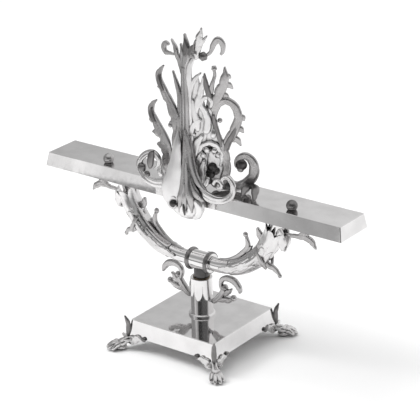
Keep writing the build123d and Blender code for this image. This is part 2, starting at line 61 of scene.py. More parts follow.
# --- materials ---------------------------------------------------------------------------------
def node_tree(name):
    """A new material and its node tree, with the shader already there."""
    material = bpy.data.materials.new(name)
    material.use_nodes = True
    tree = material.node_tree
    return material, tree, tree.nodes["Principled BSDF"]


def noise(tree, scale, detail=4.0, stretch=None):
    """A noise pattern in object space; stretch makes it streaky along an axis."""
    place = tree.nodes.new("ShaderNodeTexCoord")
    pattern = tree.nodes.new("ShaderNodeTexNoise")
    pattern.inputs["Scale"].default_value = scale
    pattern.inputs["Detail"].default_value = detail
    source = place.outputs["Object"]
    if stretch:
        mapping = tree.nodes.new("ShaderNodeMapping")
        mapping.inputs["Scale"].default_value = stretch
        tree.links.new(source, mapping.inputs["Vector"])
        source = mapping.outputs["Vector"]
    tree.links.new(source, pattern.inputs["Vector"])
    return pattern.outputs["Fac"]


def ramp(tree, factor, stops):
    """A colour ramp through (place, colour) stops."""
    mixer = tree.nodes.new("ShaderNodeValToRGB")
    elements = mixer.color_ramp.elements
    while len(elements) < len(stops):
        elements.new(0.5)
    for element, (place, color) in zip(elements, stops):
        element.position = place
        element.color = (*color, 1.0)
    tree.links.new(factor, mixer.inputs["Fac"])
    return mixer.outputs["Color"]


def darkened(tree, color, recess, soot):
    """A colour darkened in its hollows, which are recess metres wide and keep the given share of it: tarnish
    and painted shade.
    """
    cavity = tree.nodes.new("ShaderNodeAmbientOcclusion")
    cavity.inputs["Distance"].default_value = recess
    cavity.samples = 8
    shade = ramp(tree, cavity.outputs["AO"], [(0.25, (soot, soot, soot)), (0.85, (1.0, 1.0, 1.0))])
    mix = tree.nodes.new("ShaderNodeMix")
    mix.data_type = "RGBA"
    mix.blend_type = "MULTIPLY"
    mix.inputs["Factor"].default_value = 1.0
    tree.links.new(color, mix.inputs["A"])
    tree.links.new(shade, mix.inputs["B"])
    return mix.outputs["Result"]


def metal(name, light, dark, rough, scale, bump, recess=None, stretch=None, soot=None):
    """Worn metal: cloudy colour, uneven polish, fine surface marks and, on castings, recesses darkened by
    tarnish and painted shade.
    """
    material, tree, shader = node_tree(name)
    shader.inputs["Metallic"].default_value = 1.0
    clouds = noise(tree, CLOUD_SCALE)
    color = ramp(tree, clouds, [(0.35, dark), (0.62, light)])
    if recess:
        color = darkened(tree, color, recess, soot)
    tree.links.new(color, shader.inputs["Base Color"])
    marks = noise(tree, scale, 6.0, stretch)
    spread = tree.nodes.new("ShaderNodeMapRange")
    spread.inputs["From Min"].default_value = 0.3
    spread.inputs["From Max"].default_value = 0.7
    spread.inputs["To Min"].default_value = rough[0]
    spread.inputs["To Max"].default_value = rough[1]
    tree.links.new(marks, spread.inputs["Value"])
    tree.links.new(spread.outputs["Result"], shader.inputs["Roughness"])
    relief = tree.nodes.new("ShaderNodeBump")
    relief.inputs["Strength"].default_value = bump
    relief.inputs["Distance"].default_value = GRAIN_DEPTH
    tree.links.new(marks, relief.inputs["Height"])
    tree.links.new(relief.outputs["Normal"], shader.inputs["Normal"])
    return material


def casting(name, light, dark, rough, **recesses):
    """Cast silver: metal with the fine grain of a casting, with tarnish and painted shade in its recesses
    where asked.
    """
    return metal(name, light, dark, rough, scale=420.0, bump=0.10, **recesses)


SHEET = metal("sheet_silver", (0.82, 0.81, 0.81), (0.74, 0.73, 0.73), (0.03, 0.09), 260.0, 0.012)
CAST = casting("cast_silver", (0.74, 0.73, 0.73), (0.62, 0.61, 0.61), (0.14, 0.28), recess=0.005, soot=0.42)
# A paler copy of the cast silver with a satin polish; its paler colour is painted light.
SATIN_LIT = casting("satin_lit_silver", (0.86, 0.85, 0.85), (0.76, 0.75, 0.75), (0.28, 0.40), recess=0.004, soot=0.55)
# A dark copy of the cast silver with a dull polish; its dark colour is painted shade.
DEEP_SHADE = casting("deep_shade_silver", (0.30, 0.29, 0.29), (0.20, 0.195, 0.195), (0.28, 0.42), recess=0.005, soot=0.6)
# A mid-grey copy of the cast silver: painted shade.
MID_SHADE = casting("mid_shade_silver", (0.52, 0.51, 0.51), (0.42, 0.41, 0.41), (0.24, 0.38), recess=0.005, soot=0.5)
# Near-black silver: painted shadow.
PAINTED_SHADOW = casting("painted_shadow_silver", (0.13, 0.125, 0.125), (0.06, 0.06, 0.06), (0.25, 0.40))
STEEL = metal("steel", (0.58, 0.58, 0.59), (0.44, 0.44, 0.45), (0.25, 0.42), 300.0, 0.15, stretch=(1, 1, 12))
BRONZE = metal("bearing_bronze", (0.20, 0.16, 0.12), (0.12, 0.10, 0.07), (0.25, 0.40), 300.0, 0.12)
FINISHES = {"sheet_silver": SHEET, "cast_silver": CAST, "steel": STEEL, "bearing_bronze": BRONZE}


# --- mesh forms ----------------------------------------------------------------------------------
class Form:
    """Vertices in millimetres and faces of one cast piece, gathered from several closed bodies."""

    def __init__(self):
        self.verts = []
        self.faces = []

    def skin(self, rings, start, end):
        """A closed body from rings of equal size, with a point at each end."""
        first = len(self.verts)
        count, around = rings.shape[:2]
        self.verts.extend(rings.reshape(-1, 3))
        self.verts.extend([start, end])
        for i in range(count - 1):
            for k in range(around):
                a, b = first + i * around + k, first + i * around + (k + 1) % around
                self.faces.append((a, b, b + around, a + around))
        low_tip, high_tip = first + count * around, first + count * around + 1
        last = first + (count - 1) * around
        for k in range(around):
            self.faces.append((low_tip, first + (k + 1) % around, first + k))
            self.faces.append((high_tip, last + k, last + (k + 1) % around))

    def hoop(self, rings):
        """A closed body from rings of equal size, the last joined to the first."""
        first = len(self.verts)
        total, around = rings.shape[:2]
        self.verts.extend(rings.reshape(-1, 3))
        for i in range(total):
            row, following = first + i * around, first + (i + 1) % total * around
            for k in range(around):
                beside = (k + 1) % around
                self.faces.append((row + k, row + beside, following + beside, following + k))

    def piece(self, name, body, *nodes, look=CAST):
        """The finished piece on a body, with a silver look; it stands for the CAD nodes it names, if any."""
        mesh = bpy.data.meshes.new(name)
        mesh.from_pydata([tuple(np.array(v) * MM) for v in self.verts], [], self.faces)
        mesh.validate()
        mesh.polygons.foreach_set("use_smooth", [True] * len(mesh.polygons))
        mesh.materials.append(look)
        piece = bpy.data.objects.new(name, mesh)
        bpy.context.scene.collection.objects.link(piece)
        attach(piece, body)
        if nodes:
            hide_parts(*nodes)
        return piece


def curve(points, count):
    """Points spaced evenly along a smooth line through the given ones."""
    given = np.asarray(points, float)
    knots = np.vstack([2 * given[0] - given[1], given, 2 * given[-1] - given[-2]])
    dense = []
    t = np.linspace(0, 1, 20, endpoint=False)[:, None]
    for a, b, c, d in zip(knots, knots[1:], knots[2:], knots[3:]):
        dense.append(0.5 * (2 * b + (c - a) * t + (2 * a - 5 * b + 4 * c - d) * t**2
                            + (3 * b - a - 3 * c + d) * t**3))
    dense = np.vstack(dense + [given[-1:]])
    travel = np.concatenate([[0], np.cumsum(np.linalg.norm(np.diff(dense, axis=0), axis=1))])
    stops = np.linspace(0, travel[-1], count)
    return np.column_stack([np.interp(stops, travel, column) for column in dense.T]), travel[-1]


def spread_out(values, count):
    """Values given at even steps, drawn out smoothly over count places."""
    values = np.atleast_1d(np.asarray(values, float))
    if len(values) == 1:
        return np.full(count, values[0])
    steps = np.linspace(0, len(values) - 1, count)
    index = np.clip(steps.astype(int), 0, len(values) - 2)
    part = steps - index
    part = part * part * (3 - 2 * part)
    return values[index] * (1 - part) + values[index + 1] * part


def unit(vectors):
    """Vectors scaled to length one."""
    return vectors / np.linalg.norm(vectors, axis=-1, keepdims=True)


# How closely leaves are ringed, and the sizes of their relief as shares of the leaf's or the bead's own.
RING_STEP, RINGS_PER_TOOTH, FEWEST_RINGS = 1.1, 9, 14
GROOVE_WIDTH, FLUTE_DEPTH, VEIN_DEPTH, PETAL_DEPTH, LEAF_RIDGE = 0.22, 0.32, 0.14, 0.15, 0.12


def opened(travel, half, blunt=0.0):
    """How far a leaf of some half width has opened, 0 to 1, at a distance from its end."""
    return np.minimum(1, np.sqrt(np.clip(travel / (0.9 * half + 0.3) + blunt, 0, 1)))


def signed_power(value, power):
    """A power of the size of a number, with the number's sign."""
    return math.copysign(abs(value) ** power, value) if abs(value) > 1e-9 else 0


def thickness_left(v, groove, flutes):
    """The share of a leaf's thickness left at a place v across it, by its midrib's groove and its flutes."""
    left = 1 - groove * math.exp(-(v / GROOVE_WIDTH) ** 2)
    if flutes:
        left -= FLUTE_DEPTH * (0.5 + 0.5 * math.cos(2 * math.pi * flutes * v)) * (abs(v) > 0.2)
    return left


def frond(form, route, normal, widths, depth=4.0, teeth=0, bite=0.35, sides=(1, 1), groove=0.25,
          flutes=0, cup=0.0, around=18, blunt=0.0, square=0.55):
    """A cast leaf or scroll: it follows a line, swells and tapers, and is lobed along its edges.

    normal is the way its front faces, depth its thickness, teeth the lobes along an edge, bite how far
    they are cut in on each of the sides, groove the depth of its midrib, flutes the furrows across it,
    cup how much its edges rise, blunt how broad it starts and square how boxy its section is.
    """
    length = curve(route, 8)[1]
    count = int(max(FEWEST_RINGS, length / RING_STEP, teeth * RINGS_PER_TOOTH))
    line = curve(route, count)[0]
    share = np.linspace(0, 1, count)
    ahead = unit(np.gradient(line, axis=0))
    facing = np.asarray(normal, float)
    facing = unit(facing - (ahead @ facing)[:, None] * ahead)
    across = np.cross(ahead, facing)
    half = spread_out(widths, count) / 2
    closing = opened((1 - share) * length, half)
    opening = opened(share * length, half, blunt)
    half = half * closing * opening
    thick = spread_out(depth, count) / 2 * np.sqrt(closing * opening + 1e-6)
    angles = 2 * math.pi * np.arange(around) / around
    rings = np.zeros((count, around, 3))
    for k, angle in enumerate(angles):
        v = math.cos(angle)
        rise = signed_power(math.sin(angle), square)
        phase = (share * teeth + (0 if v > 0 else 0.45)) % 1
        notch = (1 - np.sin(math.pi * phase ** 0.75)) ** 2 if teeth else 0
        lobe = 1 - bite * sides[0 if v > 0 else 1] * notch * abs(v)
        veins = 1 - VEIN_DEPTH * notch * abs(v) if teeth else 1
        out = half * v * lobe
        up = thick * rise * thickness_left(v, groove, flutes) * veins + cup * half * v * v
        rings[:, k] = line + across * out[:, None] + facing * up[:, None]
    form.skin(rings, line[0], line[-1])


def bead(form, centre, radius, normal, flat=0.7, petals=0):
    """A round boss, petalled if asked, flattened along its normal."""
    facing = unit(np.asarray(normal, float))
    side = unit(np.cross(facing, (0.1, 0.2, 1.0)))
    up = np.cross(side, facing)
    rows, around = 9, 24
    rings = np.zeros((rows, around, 3))
    for i in range(rows):
        tilt = math.pi * (i + 1) / (rows + 1)
        for k in range(around):
            turn = 2 * math.pi * k / around
            cut = PETAL_DEPTH * (0.5 + 0.5 * math.cos(petals * turn)) * bool(petals)
            reach = radius * math.sin(tilt) * (1 - cut)
            rings[i, k] = centre + reach * (math.cos(turn) * side + math.sin(turn) * up) \
                - radius * flat * math.cos(tilt) * facing
    form.skin(rings, centre - radius * flat * facing, centre + radius * flat * facing)


def dome(form, centre, wide, high, rise):
    """Half an egg, wide and high by its half sizes, that rises towards the front from its centre."""
    rows, around = 22, 72
    rings = np.zeros((rows, around, 3))
    for i in range(rows):
        tilt = math.pi / 2 * i / (rows - 1) * 0.97
        for k in range(around):
            turn = 2 * math.pi * k / around
            rings[i, k] = centre + (wide * math.cos(tilt) * math.cos(turn), -rise * math.sin(tilt),
                                    high * math.cos(tilt) * math.sin(turn))
    form.skin(rings, centre + (0, 1.0, 0), centre - (0, rise, 0))


def station(line, share):
    """The place at a share of a line's length, and the index of the line's point before it."""
    where = np.clip(share, 0, 1) * (len(line) - 1)
    before = int(min(where, len(line) - 2))
    part = where - before
    return line[before] * (1 - part) + line[before + 1] * part, before


def wrap(form, path, side, inner, outer, lobes, span, point, flare):
    """A calyx round a tube: a thin skin of pointed leaves whose tips spread away from the tube.

    side is the direction square to the path's plane; span is the stretch covered by the leaves' bodies,
    point how much further along their tips reach and flare how far the tips stand off.
    """
    line = curve(path, 90)[0]
    ahead = unit(np.gradient(line, axis=0))
    side = np.asarray(side, float)
    up = np.cross(ahead, side)
    rows, around = 26, lobes * 12
    share = np.linspace(0, 1, rows)
    sheets = np.zeros((2, rows, around, 3))
    for k in range(around):
        turn = 2 * math.pi * k / around
        leaf = abs(math.cos(lobes * turn / 2))
        end = span[1] + point * (leaf - 0.35)
        at = span[0] + (end - span[0]) * share
        swell = np.sin(math.pi * np.clip(share, 0, 1)) * 0.12
        spread = flare * np.clip((share - 0.62) / 0.38, 0, 1) ** 2 * leaf
        raised = LEAF_RIDGE * outer * (leaf ** 3 - 0.4) * np.sin(math.pi * share) ** 0.5
        reach = outer * (1 + swell + spread) + raised
        skin_depth = (outer - inner) * (1 - 0.72 * share)
        for sheet, radius in enumerate((reach, reach - skin_depth)):
            for i in range(rows):
                centre, here = station(line, at[i])
                sheets[sheet, i, k] = centre + radius[i] * (math.cos(turn) * side + math.sin(turn) * up[here])
    form.hoop(np.concatenate([sheets[0], sheets[1][::-1]], axis=0))


class Sheet:
    """An upright plane through (0, y) whose u runs outward and whose w stands out of its front."""

    def __init__(self, y, angle=0.0, sign=1):
        turn = math.radians(angle)
        self.out = np.array((sign * math.cos(turn), math.sin(turn), 0))
        self.front = np.array((sign * math.sin(turn), -math.cos(turn), 0))
        self.foot = np.array((0, y, 0))

    def at(self, u, z, w=0.0):
        """The place in space of a point in the plane, w in front of it."""
        return self.foot + self.out * u + self.front * w + np.array((0, 0, z))

    def leaf(self, form, route, widths, depth=4.0, **shape):
        """A frond along (u, z) or (u, z, w) points in this plane."""
        frond(form, [self.at(*point) for point in route], self.front, widths, depth, **shape)

    def lobe(self, form, root, tip, crown, widths, depth=3.0, shift=0.0):
        """A short lobe off a leaf's edge, from its root over a crown height to its tip."""
        self.leaf(form, [root, ((root[0] + tip[0]) / 2 + shift, crown, 1), tip], widths, depth)

    def curl(self, form, u, z, radius, turns, start, widths, depth=4.0, w=0.0, hand=1, eye=0.0, **shape):
        """A volute that winds in from its outer end at the start angle, hand +1 anticlockwise."""
        steps = max(8, int(abs(turns) * 10))
        route = []
        for i in range(steps + 1):
            share = i / steps
            reach = radius * (1 - share) ** 0.8 + 0.22 * radius * share
            angle = math.radians(start) + hand * 2 * math.pi * turns * share
            route.append((u + reach * math.cos(angle), z + reach * math.sin(angle), w))
        self.leaf(form, route, widths, depth, **shape)
        if eye:
            bead(form, self.at(u, z, w), eye, self.front, 0.8)


# The crest grows in three upright sheets: its two halves spread back from the front, and the fan, the
# bulb and the lower scrolls lie against the strap.
ROOT_Y = -24.0
strap_front = low("crest_strap")[1]
FRONT = Sheet(strap_front - 2.0)
LEFT = Sheet(ROOT_Y, 8.0, -1)
RIGHT = Sheet(ROOT_Y, 25.0, 1)

# --- crest: left half ------------------------------------------------------------------------------
# Most crest pieces take the mid-grey or dark copies of the cast silver, painted shade, and a few the paler
# satin copy, painted light.
hollows = Form()
lower_left = Form()
LEFT.leaf(lower_left, [(25, 197), (26, 220, 1), (27, 237, 2), (32, 250, 2.5), (42, 262, 2.5),
                       (50, 272, 1.5), (49, 281, 1), (42, 288)],
          (13, 17, 18, 16, 13, 12, 9, 2), (4, 5, 5, 4, 2.5), teeth=5, bite=0.35, sides=(0.1, 1), cup=0.10)
for root, tip in (((34, 233), (44, 236)), ((39, 246), (51, 249)), ((47, 261), (55, 262))):
    LEFT.lobe(lower_left, root, tip, tip[1] + 1, (8, 7, 1.5))
lower_left.piece("crest_leaf_lower_left_cast", "head", "crest_leaf_lower_left", look=MID_SHADE)

upper_left = Form()
LEFT.leaf(upper_left, [(8, 248), (11, 268, 1.5), (17, 286, 2.5), (27, 300, 2.5), (35, 311, 2),
                       (37, 320, 1), (30, 330)],
          (11, 15, 15, 12, 11, 9, 2), (4, 5, 5, 4, 2.5), teeth=5, bite=0.3, sides=(0.1, 1), cup=0.10)
for root, tip in (((22, 288), (33, 291)), ((31, 302), (41, 303))):
    LEFT.lobe(upper_left, root, tip, tip[1] + 1, (7, 6, 1.5))
LEFT.leaf(upper_left, [(12, 268, 1), (18, 268, 1), (24, 265)], (4, 5, 3), 3)
bead(upper_left, LEFT.at(23, 263), 2.8, LEFT.front, 0.8)
upper_left.piece("crest_leaf_upper_left_cast", "head", "crest_leaf_upper_left", look=MID_SHADE)

wing_left = Form()
LEFT.leaf(wing_left, [(8, 236), (8, 258, 1), (6, 284, 1), (6, 302, 1.5), (11, 315, 1), (17, 327)],
          (5, 13, 9, 8, 7, 2), (5, 6, 5, 3), groove=0.4, flutes=1)
LEFT.leaf(wing_left, [(16, 234, 1), (14, 250, 2), (11, 266, 1), (10, 284)], (4, 9, 7, 2), 4)
wing_left.piece("crest_wing_left_cast", "head", "crest_wing_left", look=MID_SHADE)

# --- crest: spine and its spray --------------------------------------------------------------------
spine = Form()
for offset in (-2.2, 2.2):
    route = [(3 + offset * 1.3, ROOT_Y - 2, 203), (2 + offset, ROOT_Y - 2.5, 250),
             (1.5 + offset * 0.8, ROOT_Y - 2, 300), (0.5 + offset * 0.5, ROOT_Y - 1, 336)]
    frond(spine, route, (-0.35, -1, 0), (7, 5.5, 5.5, 4), 5.0, groove=0.1)
back_line = [(1.5, ROOT_Y + 1, z) for z in (203, 260, 328)]
frond(spine, back_line, (0, 1, 0), (12, 8, 3), 4)
spine.piece("crest_spine_cast", "head", "crest_spine", look=MID_SHADE)

spray = Form()
LEFT.leaf(spray, [(1, 316), (2, 332, 1), (9, 347, 1), (13, 354), (18, 362)], (5, 7, 8, 7, 1.5), 3.5, teeth=3)
LEFT.leaf(spray, [(0, 318), (1, 334, 1), (1, 346, 1), (4, 360)], (5, 6, 6, 1.5), 3.5)
LEFT.leaf(spray, [(-1, 318), (-2, 336, 1), (-5, 349, 1.5), (-5, 360, 1), (-2, 372)],
          (5, 6, 10, 9, 1.5), 4, teeth=3)
LEFT.leaf(spray, [(-1, 330), (-4, 343, 1), (-9, 352), (-15, 362)], (5, 6, 9, 1.5), 3.5, teeth=2)
LEFT.leaf(spray, [(-6, 346), (-12, 350, 1), (-16, 346)], (4, 6, 1.5), 3)
LEFT.leaf(spray, [(9, 346), (15, 345), (20, 345), (27, 345), (30, 350), (27, 355), (21, 354)],
          (2, 2.5, 4, 6, 6.5, 5.5, 3), (2.5, 3, 4, 4.5, 4))
spray.piece("crest_spray_top_cast", "head", "crest_spray_top", look=MID_SHADE)

# --- crest: fan, bulb and lower scrolls --------------------------------------------------------------
fan = Form()
STREAMS = (([(4, 266, 0), (5, 244, 1), (7, 228, 3), (11, 213, 5.5), (18, 203, 7.5), (26, 196, 8),
             (32, 191, 6)], (4, 11, 12, 13, 13, 11, 4)),
           ([(4, 262, 1), (5, 238, 3), (6, 218, 6), (6, 202, 9), (3, 189, 10), (-1, 171, 6)],
            (2, 6, 7, 8, 8, 2)),
           ([(6, 262, 0), (8, 238, 1.5), (9, 218, 4), (10, 202, 8), (9, 190, 10), (7, 172, 7)],
            (3, 8, 9, 9, 7, 2)),
           ([(8, 260, 0), (11, 240, 1), (16, 223, 3), (25, 210, 5), (35, 203, 5)], (3, 8, 9, 9, 4)),
           ([(8, 232, 4), (11, 214, 7), (14, 201, 10), (17, 190, 10), (16, 174, 6)], (4, 8, 9, 8, 2)))
for route, widths in STREAMS:
    FRONT.leaf(fan, route, widths, (4, 5, 6, 6, 4), groove=0.12, square=0.8)
fan.piece("crest_fan_cast", "head", "crest_fan", look=MID_SHADE)

bulb = Form()
dome(bulb, np.array((4, strap_front, 181)), wide=23, high=18.5, rise=11.5)
CHEEK = [(-3, 264, 3), (-3, 248, 5.5), (-4, 232, 7), (-5.5, 216, 8.5), (-7, 202, 9.5), (-7.5, 189, 9),
         (-6, 174, 5)]
frond(bulb, [FRONT.at(*point) for point in CHEEK], (0.3, -1, -0.05),
      (2, 9, 13, 19, 26, 23, 8), (5, 6, 7, 7, 6), groove=0.0, square=0.4)
FRONT.curl(bulb, -6, 182, 8, 0.9, 60, (4, 5, 4, 2.5), 4, w=11, hand=1)
FRONT.leaf(bulb, [(20, 192, 8), (25, 184, 7), (24, 174, 5), (16, 167, 4)], (5, 9, 8, 4), 5)
RIGHT.leaf(bulb, [(5, 199, 3), (6, 226, 3), (6, 246, 2.5), (5, 266, 1)], (10, 10, 8, 3), 4, flutes=1)
# The bulb and its cheek take the paler satin silver: painted light.
bulb.piece("crest_bulb_cast", "head", "crest_bulb", look=SATIN_LIT)
# Near-black beads and slots in the crest's holes and eyes: painted shadow.
FRONT.leaf(hollows, [(8, 185, 12), (9, 178, 12), (9, 171, 10)], (1, 3, 1), 2.5)
bead(hollows, FRONT.at(-6, 182, 12), 4.2, FRONT.front, 0.6)

volute_left = Form()
FRONT.leaf(volute_left, [(-10, 206, 1), (-24, 199, 2), (-37, 197, 3), (-49, 200, 2), (-58, 208),
                         (-58, 218), (-50, 227), (-40, 230), (-33, 224), (-34, 215), (-40, 212)],
           (6, 10, 11, 11, 11, 9, 7, 7, 7, 6, 3), (4, 5, 6, 6, 5, 4), groove=0.3)
FRONT.leaf(volute_left, [(-28, 204, 1), (-31, 212, 1), (-29, 220)], (7, 6, 2), 4)
volute_left.piece("crest_volute_left_cast", "head", "crest_volute_left")
# The volute's buds are dark silver: painted shade in the volute's eye.
volute_buds = Form()
FRONT.leaf(volute_buds, [(-44, 211, 1), (-43, 220, 2), (-41, 229, 2), (-38, 234, 1)], (4, 8, 8, 2), 5,
           groove=0)
bead(volute_buds, FRONT.at(-55, 211, 2), 5.5, FRONT.front, 0.8, petals=4)
bead(volute_buds, FRONT.at(-47, 205, 3), 3.5, FRONT.front, 0.8)
volute_buds.piece("crest_volute_buds", "head", look=DEEP_SHADE)

band_right = Form()
FRONT.leaf(band_right, [(8, 205, 1), (20, 203, 3), (32, 199, 5), (44, 196, 5), (56, 197, 2), (65, 205),
                        (66, 216), (60, 223), (53, 220), (52, 213)],
           (6, 9, 11, 11, 9, 8, 7, 6, 5, 3), (4, 5, 6, 5, 4), groove=0.3)
FRONT.curl(band_right, 48, 212, 6.5, 1.0, 200, (3.5, 4, 4, 3), 4, w=1, hand=-1, eye=2)
FRONT.leaf(band_right, [(26, 205, 3), (33, 211, 3), (36, 219, 2)], (5, 6, 2), 4)
band_right.piece("crest_band_right_cast", "head", "crest_band_right")
bead(hollows, FRONT.at(60, 213, 0), 4.2, FRONT.front, 0.5)

# --- crest: right half -------------------------------------------------------------------------------
wing_right = Form()
RIGHT.leaf(wing_right, [(12, 197, -1), (13, 230, -1), (13, 262, -1), (13, 292, -1), (13, 326, -1)],
           (20, 24, 24, 18, 5), 4.5, teeth=9, bite=0.12, flutes=3, groove=0.5)
RIGHT.leaf(wing_right, [(33, 197, -1), (33, 226, -1), (31, 250, -1), (27, 278, -1), (26, 304, -1)],
           (18, 22, 16, 12, 4), 4.5, teeth=7, bite=0.12, flutes=2, groove=0.5)
RIGHT.leaf(wing_right, [(8, 197), (9, 225, 1), (6, 250, 1), (5, 280, 1.5), (5, 305, 1.5), (5, 325, 1.5),
                        (7, 338, 1), (12, 346), (19, 346)],
           (10, 9, 8, 8, 7, 7, 8, 7, 3), 5, teeth=9, bite=0.15, sides=(1, 0.2))
RIGHT.leaf(wing_right, [(3, 290, 1.5), (6, 309, 1.5), (12, 322, 1), (19, 329)], (5, 7, 6, 2), 4)
RIGHT.leaf(wing_right, [(12, 282, 1.5), (15, 298, 2), (19, 312, 1.5), (21, 326, 1)], (4, 8, 8, 2), 4, teeth=3)
RIGHT.leaf(wing_right, [(22, 260, 2), (25, 272, 2), (23, 284, 2), (18, 293, 2), (20, 300, 2), (25, 302, 2),
                        (30, 297, 2), (28, 290, 2)],
           (9, 9, 8, 7, 6, 5, 5, 3), 4, teeth=5, bite=0.2)
RIGHT.leaf(wing_right, [(19, 277, 2), (12, 273, 2), (8, 267, 2), (7, 260, 2), (12, 259, 2)],
           (4, 6, 7, 6, 3), 4)
RIGHT.leaf(wing_right, [(14, 262, 1.5), (13, 274, 2), (10, 288, 1.5), (9, 300, 1)], (5, 8, 7, 2), 4)
RIGHT.leaf(wing_right, [(12, 214, 2), (9, 232, 2.5), (12, 248, 2.5), (20, 260, 2)], (6, 10, 10, 5), 4,
           teeth=4, bite=0.2, sides=(0.2, 1))
RIGHT.leaf(wing_right, [(14, 214, 2), (13, 236, 2), (19, 247, 2), (29, 250, 2), (37, 244, 2), (40, 233, 2),
                        (38, 223, 1)],
           (6, 6, 7, 6, 7, 6, 3), 4, teeth=9, bite=0.5, sides=(1, 0.8))
RIGHT.leaf(wing_right, [(14, 222, 2), (15, 232, 3.5), (19, 241, 3)], (5, 8, 4), 4)
for root, tip in (((16, 238), (24, 235)), ((21, 246), (27, 239)), ((33, 246), (31, 238)),
                  ((39, 240), (33, 235)), ((31, 256), (32, 267)), ((18, 224), (23, 229))):
    RIGHT.leaf(wing_right, [(*root, 3), ((root[0] + tip[0]) / 2, (root[1] + tip[1]) / 2, 4), (*tip, 2)],
               (5, 6, 2), 4)
VEIN_U = 13
for z in range(212, 304, 13):
    for way in (-1, 1):
        vein = [(VEIN_U, z, -3), (VEIN_U + way * 4, z + 6, -3.6), (VEIN_U + way * 9, z + 9, -2.4)]
        RIGHT.leaf(wing_right, vein, (3, 4, 1.5), 2.4)
RIGHT.leaf(wing_right, [(17, 202, 3), (17, 212, 4.5), (18, 222, 4.5), (21, 232, 3.5)], (5, 8, 7, 3), 4,
           teeth=3, bite=0.2)
# The right wing takes the paler satin silver: painted light.
wing_right.piece("crest_wing_right_cast", "head", "crest_wing_right", look=SATIN_LIT)
# Near-black beads in the right wing's holes: painted shadow.
for u, z, radius in ((29, 222, 5.2), (33, 218, 4.0), (27, 214, 4.8), (25, 206, 3.6), (27, 243, 2.6),
                     (17, 231, 1.8), (10, 264, 1.6), (24, 290, 2.2), (30, 305, 1.6)):
    bead(hollows, RIGHT.at(u, z, 2.2), radius, RIGHT.front, 0.35)
bead(hollows, RIGHT.at(61, 227, 1), 6.4, RIGHT.front, 0.55)
hollows.piece("crest_hollows", "head", look=PAINTED_SHADOW)

# Dark strands laid over the leaves in dark silver: painted shade.
shaded = Form()
RIGHT.leaf(shaded, [(28, 288, 1.5), (27, 303, 2), (24, 315, 2), (22, 329, 1)], (4, 6, 6, 2), 4)
RIGHT.leaf(shaded, [(31, 284, 2), (33, 272, 2), (37, 258, 2), (40, 246, 2)], (3, 5, 5, 2), 4)
RIGHT.leaf(shaded, [(43, 240, 1.5), (47, 252, 2), (53, 263, 2), (58, 274, 1.5)], (5, 6, 6, 3), 4.5)
bead(shaded, RIGHT.at(21, 347, 1), 5.4, RIGHT.front, 0.8, petals=6)
for route, widths in (([(-4, 346, 2.5), (-6, 356, 3), (-4, 368, 2)], (5, 8, 2)),
                      ([(-8, 349, 2), (-12, 356, 2), (-15, 362, 1)], (4, 7, 1.5)),
                      ([(27, 300, 4), (34, 310, 4), (36, 319, 3)], (5, 6, 3)),
                      ([(41, 261, 4), (48, 270, 4), (48, 279, 3)], (5, 6, 3))):
    LEFT.leaf(shaded, route, widths, 3)
shaded.piece("crest_shaded_strands", "head", look=DEEP_SHADE)

stem_right = Form()
RIGHT.leaf(stem_right, [(38, 197), (42, 210, 1), (45, 222, 1.5), (44, 238, 1.5), (40, 250, 1), (35, 262)],
           (9, 10, 10, 9, 7, 2), 5, teeth=4, bite=0.2)
stem_right.piece("crest_stem_right_cast", "head", "crest_stem_right", look=MID_SHADE)

curl_right = Form()
RIGHT.leaf(curl_right, [(27, 205), (41, 201, 1), (54, 202, 1), (66, 206, 1), (74, 216, 1), (74, 229, 1),
                        (66, 237), (57, 233), (56, 225), (61, 220)],
           (5, 8, 10, 11, 12, 12, 10, 8, 6, 3), (4, 5, 6, 5, 4), teeth=5, bite=0.12, sides=(0.2, 1),
           groove=0.35)
bead(curl_right, RIGHT.at(60, 222, 0.5), 4.0, RIGHT.front, 0.8)
curl_right.piece("crest_curl_right_cast", "head", "crest_curl_right", look=MID_SHADE)

loop_right = Form()
RIGHT.leaf(loop_right, [(43, 240), (46, 252, 1), (53, 265, 1.5), (58, 280, 1.5), (55, 292, 1),
                        (45, 299, 1), (36, 292), (32, 280), (34, 266), (40, 253)],
           (8, 10, 11, 10, 9, 8, 7, 6, 6, 3), (4, 5, 6, 5, 4), teeth=7, bite=0.2, sides=(0.2, 1))
for root, tip in (((49, 254), (61, 248)), ((54, 266), (64, 263)), ((58, 279), (65, 277))):
    RIGHT.lobe(loop_right, root, tip, root[1] + 2, (8, 7, 2), 3.5, shift=1)
bead(loop_right, RIGHT.at(38, 276), 2.8, RIGHT.front, 0.8)
loop_right.piece("crest_loop_right_cast", "head", "crest_loop_right", look=MID_SHADE)

upper_right = Form()
RIGHT.leaf(upper_right, [(31, 284), (34, 298, 1), (40, 312, 1.5), (44, 324, 1.5), (44, 337)],
           (8, 11, 12, 10, 2), 4.5, teeth=4, bite=0.3, sides=(0.2, 1))
for root, tip in (((38, 302), (49, 300)), ((42, 314), (53, 312)), ((44, 323), (51, 324))):
    RIGHT.lobe(upper_right, root, tip, root[1] + 3, (8, 7, 2))
RIGHT.leaf(upper_right, [(27, 298), (30, 315, 1), (33, 326), (32, 334)], (6, 6, 4, 3), 4)
bead(upper_right, RIGHT.at(32.5, 334), 3.4, RIGHT.front, 0.8, petals=5)
upper_right.piece("crest_leaf_upper_right_cast", "head", "crest_leaf_upper_right", look=MID_SHADE)

leaf_top = Form()
RIGHT.leaf(leaf_top, [(12, 342), (14, 354, 1), (17, 366, 1), (20, 379)], (7, 10, 9, 2), 4, teeth=4, bite=0.3)
RIGHT.leaf(leaf_top, [(15, 354), (20, 363, 1), (26, 370)], (6, 6, 2), 3.5, teeth=2)
leaf_top.piece("crest_leaf_top_cast", "head", "crest_leaf_top")

